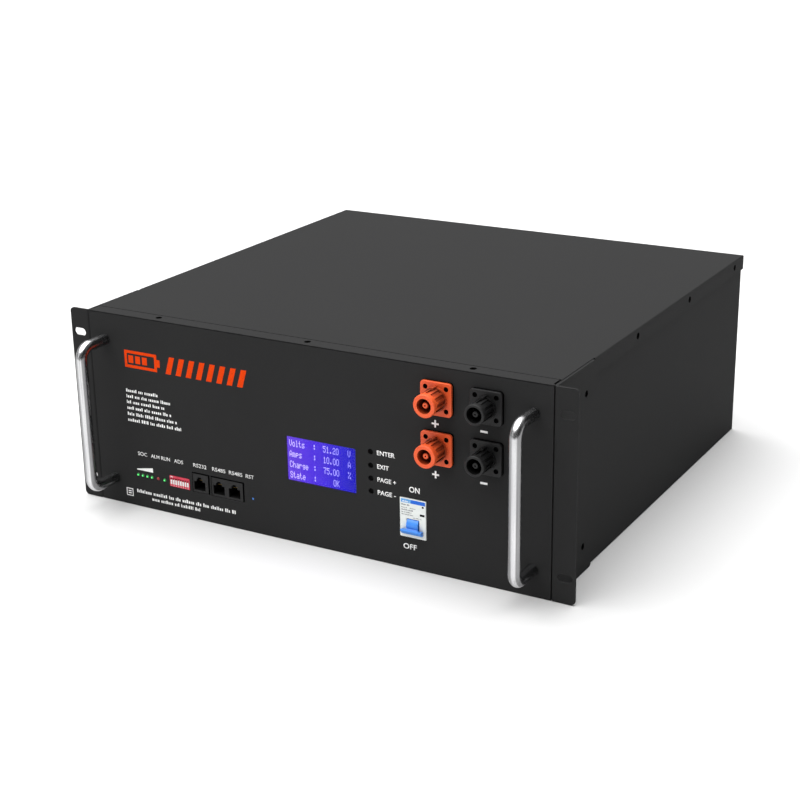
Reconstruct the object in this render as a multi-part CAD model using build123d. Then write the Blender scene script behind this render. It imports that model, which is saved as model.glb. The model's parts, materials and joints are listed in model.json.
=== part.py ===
from build123d import *
import math
import os

os.makedirs("parts", exist_ok=True)

# A 4U rack battery pack: steel case, front controls, four power sockets and a 15-cell block.
# Millimetres. It is laid out from the front panel: X to the right, Y into the case from the panel's
# outer face, Z up from the underside. write() moves each node so that the whole box is centred.

# Case
rack_width = 482.6
rack_unit = 44.45
case_height = 4 * rack_unit - 0.8
case_width = 442.0
case_depth = 430.0
sheet = 1.5
panel_sheet = 2.0
seam = 0.3
strip_depth = 13.0
lid_gap = 1.0
lid_flange = 13.5
rear_lip = 12.0
bend = 1.2
front_bend = 0.5
face_groove = 0.7

side = case_width / 2
inner = side - sheet
lid_under = case_height - sheet
rear_plane = case_depth - 2 * sheet
panel_half = side - 0.2

# Rack ears
ear_sheet = 2.0
ear_depth = 73.0
ear_inset = 0.5
slot_x = 465.1 / 2
slot_rows = (case_height / 2 - 1.5 * rack_unit, case_height / 2 + 1.5 * rack_unit)
slot_length = 13.0
slot_width = 7.0

# Handles
handle_x = 205.0
handle_rows = (23.5, 152.3)
handle_reach = 32.2
handle_bar = 10.0
handle_bend = 11.0
handle_screw = 2.4

# Case screws, M3 countersunk
screw_head = 2.8
screw_shank = 1.5
screw_cone = 1.4
screw_length = 8.0
screw_play = 0.1
strip_screw_x = (-150.0, 0.0, 150.0)
strip_screw_y = 7.2
lid_screw_y = (161.6, 283.1, 404.6)
lid_screw_z = case_height - 6.6
ear_screw_y = (24.0, 56.0)
ear_screw_z = (24.0, case_height - 24.0)
rear_screw_z = (30.0, 88.5, 147.0)

# Power sockets
positive_x = 123.3
negative_x = 166.2
socket_rows = (110.1, 151.5)
socket_flange = 27.4
socket_seal = 2.0
socket_base = socket_seal + 2.2
socket_boss = socket_base + 2.2
socket_front = 23.3
ring_radius = {positive_x: 9.4, negative_x: 8.5}
ring_length = 4.6
socket_bore = {positive_x: 6.2, negative_x: 6.4}
socket_ribs = 12
rib_height = 1.0
contact_radius = 2.5
guard_dimple = 0.7
socket_screw_pitch = 18.2
socket_screw_head = 2.0
socket_screw_shank = 1.25

# Display and menu keys
lcd_x = 13.6
lcd_z = 75.5
lcd_width = 66.0
lcd_height = 38.5
key_x = 61.0
key_rows = (95.4, 83.6, 72.4, 61.2)
key_names = ("enter", "exit", "page_up", "page_down")
key_radius = 2.3
menu_board_y = 12.0

# Battery board and what stands on its front edge
board_top = 26.0
board_x = (-192.0, -46.0)
board_y = (4.0, 84.0)
led_z = 30.7
charge_led_x = (-178.75, -173.7, -168.65, -163.6)
alarm_led_x = -156.9
run_led_x = -149.75
led_radius = 1.5
dip_x = (-143.9, -122.65)
dip_z = (26.6, 36.6)
dip_count = 8
dip_pitch = 2.54
slider_width = 1.5
slider_height = 3.9
slider_travel = 1.8
jack_z = (26.0, 42.9)
single_jack_x = (-119.4, -103.1)
double_jack_x = (-99.4, -66.9)
single_port_x = (-112.2,)
double_port_x = (-91.8, -75.6)
jack_gap_right = 2.2
jack_gap_top = 1.6
reset_x = -56.4
reset_z = 31.3

# Breaker
breaker_x = 99.7
breaker_half = 13.5
nose_half = 12.0
nose_z = (28.2, 61.8)
nose_front = -0.5
toggle_y = 3.5
toggle_z = 38.9
toggle_angle = 40.0
toggle_hub = 6.0
toggle_width = 10.4
paddle_width = 18.6
trunnion = 2.0

# Cells
cell_x = 50.0
cell_y = 160.0
cell_z = 118.0
cell_base = 2.2
row_front_y = 100.0
row_rear_y = 262.0
terminal_offset = 55.0
terminal_height = 3.0
link_sheet = 2.0
cable_radius = 4.0

cell_top = cell_base + cell_z
terminal_top = cell_top + terminal_height
cable_z = terminal_top + 7.5
centre_y = (case_depth - handle_reach - handle_bar / 2) / 2


def write(node, *solids):
    """Centre one node's solids and write them."""
    group = solids[0] if len(solids) == 1 else Compound(list(solids))
    export_step(Pos(0, -centre_y, 0) * group, f"parts/{node}.step")


def block(x, y, z):
    """A box from its low and high value along each axis."""
    centre = [(low + high) / 2 for low, high in (x, y, z)]
    size = [abs(high - low) for low, high in (x, y, z)]
    return Pos(*centre) * Box(*size)


def rod_y(x, z, radius, y0, y1):
    """A round rod along Y."""
    return Pos(x, (y0 + y1) / 2, z) * Rot(90, 0, 0) * Cylinder(radius, y1 - y0)


def rod_x(y, z, radius, x0, x1):
    """A round rod along X."""
    return Pos((x0 + x1) / 2, y, z) * Rot(0, 90, 0) * Cylinder(radius, x1 - x0)


def rod_z(x, y, radius, z0, z1):
    """An upright round rod."""
    return Pos(x, y, (z0 + z1) / 2) * Cylinder(radius, z1 - z0)


def plate(x, z, width, height, y0, y1, radius):
    """An upright plate with rounded corners, seen from the front."""
    outline = Plane.XZ * Pos(x, z) * RectangleRounded(width, height, radius)
    return Pos(0, y1, 0) * extrude(outline, amount=y1 - y0)


def long_edges(solid, axis, test):
    """The edges along an axis whose middle passes a test."""
    return [edge for edge in solid.edges().filter_by(axis) if test(edge.center())]


def mirrored(solid):
    """The same piece on the other side of the case."""
    return mirror(solid, Plane.YZ)


# Fasteners


def screw():
    """A countersunk screw, its head's face at the origin, looking along +Z."""
    head = Pos(0, 0, -screw_cone / 2) * Cone(screw_shank, screw_head, screw_cone)
    shank = rod_z(0, 0, screw_shank, -screw_length, -screw_cone)
    cross = Box(3.0, 0.7, 1.4) + Box(0.7, 3.0, 1.4)
    return head + shank - cross


def screw_hole():
    """The countersunk hole for that screw, through two sheets."""
    wide = screw_head + screw_play
    narrow = screw_shank + screw_play
    head = Pos(0, 0, -screw_cone / 2) * Cone(narrow, wide, screw_cone)
    return head + rod_z(0, 0, narrow, -2 * screw_length, 0)


def strip_screw_places():
    """Along the strip at the front of the top."""
    return [Plane(origin=(x, strip_screw_y, case_height), z_dir=(0, 0, 1)) for x in strip_screw_x]


def lid_side_places():
    """On the lid's two side flanges."""
    outer = side + sheet
    return [
        Plane(origin=(sign * outer, y, lid_screw_z), z_dir=(sign, 0, 0))
        for sign in (-1, 1)
        for y in lid_screw_y
    ]


def lid_rear_places():
    """On the lid's rear flange."""
    return [Plane(origin=(x, case_depth, lid_screw_z), z_dir=(0, 1, 0)) for x in strip_screw_x]


def ear_places(sign):
    """On the side flange of one rack ear."""
    outer = sign * (side + ear_sheet)
    return [
        Plane(origin=(outer, y, z), z_dir=(sign, 0, 0)) for y in ear_screw_y for z in ear_screw_z
    ]


def rear_places():
    """Down the two sides of the rear panel."""
    x = inner - rear_lip / 2
    y = case_depth - sheet
    return [Plane(origin=(sign * x, y, z), z_dir=(0, 1, 0)) for sign in (-1, 1) for z in rear_screw_z]


def drilled(solid, places):
    """A piece with countersunk holes at the given places."""
    hole = screw_hole()
    for place in places:
        solid -= place * hole
    return solid


def case_screws():
    """Every countersunk screw of the case."""
    places = strip_screw_places() + lid_side_places() + lid_rear_places() + rear_places()
    places += ear_places(-1) + ear_places(1)
    return [place * screw() for place in places]


# Case


def chassis_tray():
    """Floor and side walls in one sheet, with lips for the rear panel."""
    tray = block((-side, side), (strip_depth + seam, rear_plane), (0, sheet))
    for sign in (-1, 1):
        tray += block((sign * inner, sign * side), (panel_sheet + seam, rear_plane), (0, lid_under))
        lip = (sign * (inner - rear_lip), sign * inner)
        tray += block(lip, (rear_plane - sheet, rear_plane), (0, lid_under - 2 * sheet))
    tray += block((-inner, inner), (rear_plane - sheet, rear_plane), (0, rear_lip))
    folds = long_edges(tray, Axis.Y, lambda c: c.Z < 0.1 and abs(c.X) > side - 0.1)
    tray = fillet(folds, bend)
    places = lid_side_places() + rear_places() + ear_places(-1) + ear_places(1)
    return drilled(tray, places)


def panel_cutouts():
    """Every opening of the front panel."""
    cuts = []
    for x in (positive_x, negative_x):
        for z in socket_rows:
            cuts.append(rod_y(x, z, 9.0, -1, 4))
            cuts += [rod_y(x + a, z + b, socket_screw_shank + 0.1, -1, 4) for a, b in socket_corners()]
    for x in (-handle_x, handle_x):
        cuts += [rod_y(x, z, handle_screw + screw_play, -1, 4) for z in handle_rows]
    cuts.append(plate(lcd_x, lcd_z, lcd_width + 0.6, lcd_height + 0.6, -1, 4, 0.8))
    cuts += [rod_y(key_x, z, key_radius + 0.2, -1, 4) for z in key_rows]
    cuts += [rod_y(x, led_z, led_radius + 0.1, -1, 4) for x in (*charge_led_x, alarm_led_x, run_led_x)]
    cuts.append(block((dip_x[0] - 0.3, dip_x[1] + 0.3), (-1, 4), (dip_z[0] - 0.3, dip_z[1] + 0.3)))
    for low, high in (single_jack_x, double_jack_x):
        z = (jack_z[0] - 0.3, jack_z[1] + jack_gap_top)
        cuts.append(block((low - 0.3, high + jack_gap_right), (-1, 4), z))
    cuts.append(rod_y(reset_x, reset_z, 1.1, -1, 4))
    nose_x = (breaker_x - nose_half - 0.4, breaker_x + nose_half + 0.4)
    cuts.append(block(nose_x, (-1, 4), (nose_z[0] - 0.4, nose_z[1] + 0.4)))
    return cuts


def front_panel():
    """Face plate with a top and a bottom flange, a groove under its top edge, and its openings."""
    panel = block((-panel_half, panel_half), (0, panel_sheet), (0, case_height))
    for z in ((0, sheet), (lid_under, case_height)):
        panel += block((-inner + seam, inner - seam), (panel_sheet - 0.5, strip_depth), z)
    panel = fillet(long_edges(panel, Axis.X, lambda c: c.Y < 0.1 and c.Z < 1), bend)
    panel = fillet(long_edges(panel, Axis.X, lambda c: c.Y < 0.1 and c.Z > 1), front_bend)
    groove_z = (case_height - front_bend - face_groove, case_height - front_bend)
    panel -= block((-side, side), (-1, face_groove), groove_z)
    for cut in panel_cutouts():
        panel -= cut
    return drilled(panel, strip_screw_places())


def lid():
    """Top sheet with side and rear flanges that lap over the case."""
    flange_start = ear_depth + seam
    top_z = (lid_under, case_height)
    cover = block((-side, side), (strip_depth + lid_gap, case_depth), top_z)
    flange_z = (case_height - lid_flange, case_height)
    for sign in (-1, 1):
        cover += block((sign * side, sign * (side + sheet)), (flange_start, case_depth), flange_z)
    rear = (case_depth - sheet, case_depth)
    cover += block((-side - sheet, side + sheet), rear, flange_z)
    folds = long_edges(cover, Axis.Y, lambda c: c.Z > case_height - 0.1 and abs(c.X) > side + 1)
    folds += long_edges(cover, Axis.X, lambda c: c.Z > case_height - 0.1 and c.Y > case_depth - 0.1)
    cover = fillet(folds, bend)
    return drilled(cover, lid_side_places() + lid_rear_places())


def rear_panel():
    """Flat rear plate with a flange along its top."""
    back = block((-side, side), (rear_plane, case_depth - sheet), (0, lid_under))
    back += block((-inner + 1, inner - 1), (rear_plane - 10, rear_plane), (lid_under - sheet, lid_under))
    return drilled(back, rear_places() + lid_rear_places())


def front_rail():
    """Angle that stiffens the case behind the panel's top edge."""
    high = lid_under
    web = block((-inner + seam, inner - seam), (panel_sheet, panel_sheet + sheet), (high - 13, high))
    shelf = block((-inner + seam, inner - seam), (panel_sheet, 26.0), (high - sheet, high))
    return drilled(web + shelf, strip_screw_places())


def lower_rail():
    """The same angle, turned over, on the floor."""
    web = block((-inner + seam, inner - seam), (panel_sheet, panel_sheet + sheet), (sheet, sheet + 13))
    shelf = block((-inner + seam, inner - seam), (panel_sheet, 26.0), (sheet, 2 * sheet))
    return web + shelf


def rack_ear():
    """Right-hand ear: a slotted front plate folded to a flange along the case side."""
    z = (ear_inset, case_height - ear_inset)
    tip = rack_width / 2
    ear = block((side, tip), (0, ear_sheet), z) + block((side, side + ear_sheet), (0, ear_depth), z)
    outer_fold = long_edges(ear, Axis.Z, lambda c: c.X < side + 0.1 and c.Y < 0.1)
    ear = fillet(outer_fold, ear_sheet + 0.4)
    ear = fillet(long_edges(ear, Axis.Y, lambda c: c.X > tip - 0.1), 3.5)
    ear = fillet(long_edges(ear, Axis.X, lambda c: c.Y > ear_depth - 0.1), 3.0)
    for row in slot_rows:
        opening = Plane.XZ * Pos(slot_x, row) * SlotOverall(slot_length, slot_width)
        ear -= Pos(0, ear_sheet + 1, 0) * extrude(opening, amount=ear_sheet + 2)
    return drilled(ear, ear_places(1))


def handle(x):
    """A bent round bar with a threaded hole in each foot."""
    low, high = handle_rows
    corners = ((x, 0, low), (x, -handle_reach, low), (x, -handle_reach, high), (x, 0, high))
    path = FilletPolyline(*corners, radius=handle_bend)
    start = Plane(origin=corners[0], z_dir=(0, -1, 0))
    bar = sweep(start * Circle(handle_bar / 2), path=path)
    for z in handle_rows:
        bar -= rod_y(x, z, handle_screw + 0.05, -10, 1)
    return bar


def handle_screws():
    """Pan-head screws that hold the handles from behind the panel."""
    screws = []
    for x in (-handle_x, handle_x):
        for z in handle_rows:
            head = rod_y(x, z, 4.4, panel_sheet, panel_sheet + 3)
            screws.append(rod_y(x, z, handle_screw, -9, panel_sheet) + head)
    return screws


# Power sockets


def socket_corners():
    """Offsets of a socket's four screws."""
    half = socket_screw_pitch / 2
    return [(a * half, b * half) for a in (-1, 1) for b in (-1, 1)]


def socket_places():
    """Centres of the four sockets."""
    return [(x, z) for x in (positive_x, negative_x) for z in socket_rows]


def socket(x, z):
    """Flanged housing with a ribbed hollow barrel, and the guard on its contact's tip."""
    ring_r = ring_radius[x]
    core_r = ring_r - rib_height - 0.2
    barrel_y = (-socket_front + ring_length, -socket_boss)
    housing = plate(x, z, socket_flange, socket_flange, -socket_base, -socket_seal, 3.0)
    housing = fillet(long_edges(housing, Axis.X, lambda c: c.Y < -socket_base + 0.1), 0.5)
    housing += rod_y(x, z, ring_r + 0.6, -socket_boss, -socket_base)
    housing += rod_y(x, z, core_r, -socket_front, -socket_boss)
    ring = rod_y(x, z, ring_r, -socket_front, -socket_front + ring_length)
    housing += chamfer(ring.edges().filter_by(GeomType.CIRCLE), 0.5)
    housing += rod_y(x, z, 8.6, -socket_seal, 10)
    for index in range(socket_ribs):
        rib = block((-0.9, 0.9), barrel_y, (core_r - 0.5, core_r + rib_height))
        housing += Pos(x, 0, z) * Rot(0, 360 * (index + 0.5) / socket_ribs, 0) * rib
    housing += Pos(x, 0, z) * block((-1.2, 1.2), (-10.5, -socket_base), (core_r - 0.5, ring_r + 1.6))
    housing -= rod_y(x, z, socket_bore[x], -socket_front - 1, -4.5)
    housing -= rod_y(x, z, contact_radius + 0.05, -5, 11)
    for a, b in socket_corners():
        housing -= rod_y(x + a, z + b, socket_screw_shank + 0.1, -socket_base - 1, 1)
        housing -= rod_y(x + a, z + b, socket_screw_head + 0.1, -socket_base - 3, -socket_base + 1.2)
    guard = rod_y(x, z, contact_radius, -socket_front + 2.0, -socket_front + 5.0)
    guard = fillet(guard.edges().sort_by(Axis.Y)[:1], 0.8)
    return housing, guard - rod_y(x, z, guard_dimple, -socket_front + 1, -socket_front + 3.5)


def socket_pin(x, z):
    """Contact pin with a shoulder and a threaded tail for the bar."""
    pin = rod_y(x, z, contact_radius, -socket_front + 5.0, 12)
    return pin + rod_y(x, z, 6.0, 10, 14) + rod_y(x, z, 4.0, 14, 27)


def socket_seal_ring(x, z):
    """Flat gasket between a socket's flange and the panel."""
    seal = plate(x, z, socket_flange, socket_flange, -socket_seal, 0, 3.0)
    seal -= rod_y(x, z, 8.8, -3, 1)
    for a, b in socket_corners():
        seal -= rod_y(x + a, z + b, socket_screw_shank + 0.2, -3, 1)
    return seal


def socket_screw(x, z):
    """Screw of a socket's flange, its head sunk in the flange."""
    head = rod_y(x, z, socket_screw_head, -socket_base + 0.2, -socket_base + 1.2)
    drive = block((x - 1.4, x + 1.4), (-socket_base, -socket_base + 0.7), (z - 0.3, z + 0.3))
    return head + rod_y(x, z, socket_screw_shank, -socket_base + 1.2, 6) - drive


def hex_nut(x, z, y):
    """Nut on a contact's tail."""
    flats = Plane.XZ * Pos(x, z) * RegularPolygon(6.5, 6, major_radius=False)
    nut = Pos(0, y + 6, 0) * extrude(flats, amount=6)
    return nut - rod_y(x, z, 4.05, y - 1, y + 7)


# Display and menu keys


def lcd_window():
    """Clear window with a rim behind the panel."""
    pane = plate(lcd_x, lcd_z, lcd_width, lcd_height, 0.3, panel_sheet, 0.6)
    return pane + plate(lcd_x, lcd_z, lcd_width + 6, lcd_height + 6, panel_sheet, 3.2, 1.0)


def lcd_module():
    """Display glass in its frame, on the menu board."""
    return plate(lcd_x, lcd_z, lcd_width + 9, lcd_height + 9, 3.2, menu_board_y, 1.0)


def menu_board():
    """Circuit board behind the display and the keys."""
    return block((-28.0, 69.0), (menu_board_y, menu_board_y + 1.6), (50.0, 104.0))


def menu_key(z):
    """Key cap with a collar that stops it at the panel's back."""
    stem = rod_y(key_x, z, key_radius, 0.8, 7.3)
    stem = fillet(stem.edges().sort_by(Axis.Y)[:1], 0.5)
    return stem + rod_y(key_x, z, 3.2, panel_sheet + 0.05, 3.3)


def key_switch(x, z):
    """Push switch under a key."""
    return block((x - 3, x + 3), (8.6, menu_board_y), (z - 3, z + 3)) + rod_y(x, z, 1.7, 8.0, 8.7)


def reset_switch():
    """Push switch behind the reset plunger, standing on the battery board."""
    base = block((reset_x - 3, reset_x + 3), (9.6, 13.6), (board_top, reset_z + 3))
    return base + rod_y(reset_x, reset_z, 1.2, 9.0, 9.7)


def reset_button():
    """Recessed plunger with a collar behind the panel."""
    return rod_y(reset_x, reset_z, 1.0, 0.4, 8.4) + rod_y(reset_x, reset_z, 2.2, panel_sheet + 0.05, 3.2)


# Front edge of the battery board


def led(x):
    """Right-angle lamp: a domed barrel in a block that stands on the board."""
    barrel = rod_y(x, led_z, led_radius, -0.6, 5)
    barrel = fillet(barrel.edges().sort_by(Axis.Y)[:1], 1.2)
    return barrel + block((x - 1.9, x + 1.9), (4.4, 8.4), (board_top, led_z + 2.2))


def dip_body():
    """Switch block with one slot for each slider."""
    body = block(dip_x, (-0.2, 9.0), dip_z)
    for x in slider_places():
        depth = (-1.0, 1.3)
        slot = (slider_low() - 0.15, slider_low() + slider_height + slider_travel + 0.15)
        body -= block((x - slider_width / 2 - 0.15, x + slider_width / 2 + 0.15), depth, slot)
    return body


def slider_places():
    """Centres of the sliders, evenly spaced about the block's middle."""
    middle = (dip_x[0] + dip_x[1]) / 2
    return [middle + (index - (dip_count - 1) / 2) * dip_pitch for index in range(dip_count)]


def slider_low():
    """Lower end of a slider at rest, in the lower part of its slot."""
    return (dip_z[0] + dip_z[1] - slider_height - slider_travel) / 2


def dip_slider(x):
    """Square slider, a little proud of the block's face."""
    low = slider_low()
    knob = block((x - slider_width / 2, x + slider_width / 2), (-0.5, 1.2), (low, low + slider_height))
    return fillet(long_edges(knob, Axis.X, lambda c: c.Y < 0), 0.25)


def jack(span, ports):
    """Modular jack: a block with a stepped port for each plug."""
    body = block(span, (0.6, 19.0), jack_z)
    for x in ports:
        for half, low, high in ((5.9, 28.0, 36.2), (3.1, 36.2, 38.6), (1.7, 38.6, 40.0)):
            body -= block((x - half, x + half), (-1.0, 14.5), (low, high))
    return body


def bms_board():
    """Battery-management board, level, in front of the cells."""
    return block(board_x, board_y, (board_top - 1.6, board_top))


def heat_sink():
    """Finned plate over the board's transistors."""
    sink = block((-186.0, -70.0), (36.0, 74.0), (board_top, board_top + 4))
    for index in range(17):
        x = -186.0 + 7.125 * index
        sink += block((x, x + 2), (36.0, 74.0), (board_top + 3.5, board_top + 20))
    return sink


def standoffs():
    """Posts that carry the board."""
    return [rod_z(x, y, 3.0, sheet, board_top - 1.6) for x in (-187.0, -51.0) for y in (31.0, 79.0)]


# Breaker


def breaker_body():
    """Moulded case: full height at the back, a stepped nose through the panel."""
    x = (breaker_x - breaker_half, breaker_x + breaker_half)
    body = block(x, (26.0, 70.0), (7.0, 83.0)) + block(x, (4.0, 27.0), (22.5, 67.5))
    body += block((breaker_x - nose_half, breaker_x + nose_half), (nose_front, 5.0), nose_z)
    body = fillet(long_edges(body, Axis.Z, lambda c: c.Y < nose_front + 0.1), 0.6)
    body -= rod_x(toggle_y, toggle_z, toggle_hub + 0.9, breaker_x - 5.8, breaker_x + 5.8)
    body -= rod_x(toggle_y, toggle_z, trunnion + 0.05, breaker_x - 8.2, breaker_x + 8.2)
    body -= block((x[0] - 1, x[1] + 1), (62.5, 71.0), (27.2, 62.8))
    for low, high in ((6.0, 19.0), (71.0, 84.0)):
        body -= block((breaker_x - 7.5, breaker_x + 7.5), (36.0, 48.0), (low, high))
    return body


def breaker_toggle():
    """Hub on two trunnions with a wide finger paddle, turned down to off."""
    half = toggle_width / 2
    hub = rod_x(toggle_y, toggle_z, toggle_hub, breaker_x - half, breaker_x + half)
    hub += rod_x(toggle_y, toggle_z, trunnion, breaker_x - 8, breaker_x + 8)
    neck = block((-half, half), (-8.0, -4.0), (-1.4, 1.4))
    paddle = block((-paddle_width / 2, paddle_width / 2), (-9.2, -5.0), (-2.8, 2.8))
    paddle = fillet(long_edges(paddle, Axis.X, lambda c: c.Y < -9), 1.2)
    for sign in (-1, 1):
        stop = block((-20, 20), (nose_front - 0.3 - toggle_y, 20), (-20, 20))
        paddle -= Rot(sign * toggle_angle, 0, 0) * stop
    return hub + Pos(breaker_x, toggle_y, toggle_z) * Rot(toggle_angle, 0, 0) * (neck + paddle)


def breaker_bracket():
    """Top-hat rail welded to an angle that stands on the floor."""
    x = (breaker_x - 21, breaker_x + 21)
    rail = block(x, (63.0, 64.0), (27.5, 32.0)) + block(x, (63.0, 64.0), (58.0, 62.5))
    rail += block(x, (63.0, 70.5), (31.0, 32.0)) + block(x, (63.0, 70.5), (58.0, 59.0))
    rail += block(x, (69.5, 72.0), (31.0, 59.0))
    upright = block(x, (70.5, 72.0), (sheet, 66.0))
    upright -= block((breaker_x - 9, breaker_x + 9), (69.0, 73.0), (3.0, 8.0))
    return rail + upright + block(x, (71.0, 81.0), (sheet, 2 * sheet))


# Cells and wiring


def cell_centres(count):
    """Middles of the cells of one row, from the right."""
    return [175.0 - cell_x * index for index in range(count)]


def cell(x, y0):
    """One sealed can with its two terminals."""
    gap = 0.25
    can = block(
        (x - cell_x / 2 + gap, x + cell_x / 2 - gap), (y0, y0 + cell_y), (cell_base, cell_top)
    )
    can = fillet(can.edges().filter_by(Axis.Z), 3.0)
    for offset in (-terminal_offset, terminal_offset):
        can += rod_z(x, y0 + cell_y / 2 + offset, 9.0, cell_top - 1, terminal_top)
    return can


def cell_row(count, y0):
    """A row of cells standing face to face."""
    return [cell(x, y0) for x in cell_centres(count)]


def link(x, y):
    """Bar that joins a cell's terminal at x to the next one's."""
    bar = block((x - cell_x - 8, x + 8), (y - 9, y + 9), (terminal_top, terminal_top + link_sheet))
    return bar


def series_links():
    """Bars that join the cells in one string, turning from the front row to the rear row."""
    front = row_front_y + cell_y / 2
    rear = row_rear_y + cell_y / 2
    links = []
    for index, x in enumerate(cell_centres(7)):
        offset = -terminal_offset if index % 2 == 0 else terminal_offset
        links.append(link(x, front + offset))
    turn_y = (front + terminal_offset - 8, rear - terminal_offset + 8)
    links.append(block((-184.0, -166.0), turn_y, (terminal_top, terminal_top + link_sheet)))
    for index in range(6):
        offset = terminal_offset if index % 2 == 0 else -terminal_offset
        links.append(link(-175.0 + cell_x * (index + 1), rear + offset))
    return links


def end_plate():
    """Angle that closes the right end of the cell block and stands on the floor."""
    y = (row_front_y, row_rear_y + cell_y)
    upright = block((200.0, 203.0), y, (sheet, 112.0))
    return upright + block((203.0, 216.0), y, (sheet, sheet + 2))


def tie_straps():
    """Flat straps that pull the two end plates together."""
    straps = []
    for low in (30.0, 80.0):
        for y in (row_front_y - 1.5, row_rear_y + cell_y):
            straps.append(block((-203.0, 203.0), (y, y + 1.5), (low, low + 20)))
    return straps


def cell_spacer():
    """Open moulding that fills the place beside the shorter row."""
    wall = 2.5
    y = (row_rear_y, row_rear_y + cell_y)
    z = (cell_base + wall, cell_top + 1)
    hollow = block((150.4 + wall, 199.7 - wall), (y[0] + wall, y[1] - wall), z)
    return block((150.4, 199.7), y, (cell_base, cell_top)) - hollow


def base_insulation():
    """Insulating sheet under the cells."""
    return block((-199.5, 199.5), (row_front_y, row_rear_y + cell_y), (sheet, cell_base))


def cable(points):
    """Round cable along straight runs, with each corner's arc as large as its runs allow."""
    nodes = [Vector(*point) for point in points]
    runs = [after - before for before, after in zip(nodes, nodes[1:])]
    radii = []
    for first, second in zip(runs, runs[1:]):
        half_turn = math.radians(first.get_angle(second)) / 2
        radii.append(0.45 * min(first.length, second.length) / math.tan(half_turn))
    path = FilletPolyline(*points, radius=radii)
    start = Plane(origin=points[0], z_dir=tuple(runs[0]))
    tube = sweep(start * Circle(cable_radius), path=path)
    section = math.pi * cable_radius**2
    print("cable", round(path.length, 1), "mm, arcs", [round(r, 1) for r in radii],
          "volume ratio", round(tube.volume / (section * path.length), 4))
    return tube


def cell_positive_cable():
    """From the first cell's terminal to the breaker's upper terminal."""
    start_y = row_front_y + cell_y / 2 + terminal_offset
    z = cable_z
    lug = block((166.0, 184.0), (start_y - 9, start_y + 9), (terminal_top, terminal_top + 2))
    neck = block((170.0, 180.0), (start_y - 14, start_y - 8), (terminal_top, z))
    barrel = rod_y(175.0, z, 5.0, start_y - 30, start_y - 9)
    end = [(breaker_x, 42.0, z - 6), (breaker_x, 42.0, 73.0)]
    route = [(175.0, start_y - 28, z), (175.0, 66.0, z), *end]
    return cable(route) + barrel + neck + lug


def cell_negative_cable():
    """From the last cell's terminal, over the cells and down to the board."""
    end_y = row_rear_y + cell_y / 2 + terminal_offset
    z = cable_z
    lug = block((116.0, 134.0), (end_y - 9, end_y + 9), (terminal_top, terminal_top + 2))
    neck = block((120.0, 130.0), (end_y - 14, end_y - 8), (terminal_top, z))
    barrel = rod_y(125.0, z, 5.0, end_y - 30, end_y - 9)
    route = [
        (125.0, end_y - 28, z),
        (125.0, 310.0, z + 8),
        (20.0, 210.0, z + 8),
        (-58.0, 150.0, z + 8),
        (-58.0, 91.5, z + 6),
        (-58.0, 91.5, 52.0),
        (-58.0, 70.0, board_top + 6),
    ]
    foot = block((-64.0, -52.0), (62.0, 76.0), (board_top, board_top + 6))
    return cable(route) + barrel + neck + lug + foot


def pack_negative_cable():
    """From the board, along the bay and up to the negative sockets' bar."""
    foot = block((-64.0, -52.0), (38.0, 50.0), (board_top, board_top + 6))
    route = [
        (-58.0, 44.0, board_top + 6),
        (-10.0, 62.0, 38.0),
        (60.0, 91.5, 44.0),
        (128.0, 91.5, 70.0),
        (negative_x, 66.0, 118.0),
        (negative_x, 21.0, 130.5),
    ]
    lug = block((negative_x - 8, negative_x + 8), (16.5, 22.0), (122.5, 138.5))
    return cable(route) + foot + lug


def positive_bar():
    """Copper bar from the breaker's lower terminal, up and forward to the positive sockets."""
    x = (breaker_x - 7, breaker_x + 7)
    low = 3.6
    high = 130.5
    bar = block((positive_x - 10, positive_x + 10), (14.0, 16.5), (99.0, 162.0))
    bar += block((x[0], positive_x), (14.0, 16.5), (high - 8, high + 8))
    bar += block(x, (14.0, 84.5), (high + 5.5, high + 8))
    bar += block(x, (82.0, 84.5), (low, high + 8))
    bar += block(x, (40.0, 84.5), (low, low + 2.5))
    bar += block(x, (40.0, 42.5), (low, 16.0))
    for z in socket_rows:
        bar -= rod_y(positive_x, z, 4.3, 13, 18)
    return bar


def negative_bar():
    """Copper bar across the two negative sockets."""
    bar = block((negative_x - 10, negative_x + 10), (14.0, 16.5), (99.0, 162.0))
    for z in socket_rows:
        bar -= rod_y(negative_x, z, 4.3, 13, 18)
    return bar


def sense_ribbon():
    """Flat cable of the cell-voltage wires, from the board over the cell links."""
    x = (-152.0, -118.0)
    top = terminal_top + link_sheet
    ribbon = block(x, (78.0, 92.2), (board_top, board_top + 1.2))
    ribbon += block(x, (91.0, 92.2), (board_top, top + 1.2))
    return ribbon + block(x, (91.0, 404.0), (top, top + 1.2))


def write_case():
    """Case, ears, handles and their fasteners."""
    write("chassis_tray", chassis_tray())
    write("front_panel", front_panel())
    write("lid", lid())
    write("rear_panel", rear_panel())
    write("front_rails", front_rail(), lower_rail())
    write("rack_ear_right", rack_ear())
    write("rack_ear_left", mirrored(rack_ear()))
    write("case_screws", *case_screws())
    write("handle_right", handle(handle_x))
    write("handle_left", handle(-handle_x))
    write("handle_screws", *handle_screws())


def write_sockets():
    """Power sockets and what is on them."""
    names = ("positive_lower", "positive_upper", "negative_lower", "negative_upper")
    for name, (x, z) in zip(names, socket_places()):
        write(f"socket_{name}", *socket(x, z))
    write("socket_pins", *[socket_pin(x, z) for x, z in socket_places()])
    write("socket_seals", *[socket_seal_ring(x, z) for x, z in socket_places()])
    write("socket_nuts", *[hex_nut(x, z, 16.5) for x, z in socket_places()])
    screws = [socket_screw(x + a, z + b) for x, z in socket_places() for a, b in socket_corners()]
    write("socket_screws", *screws)


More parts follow.
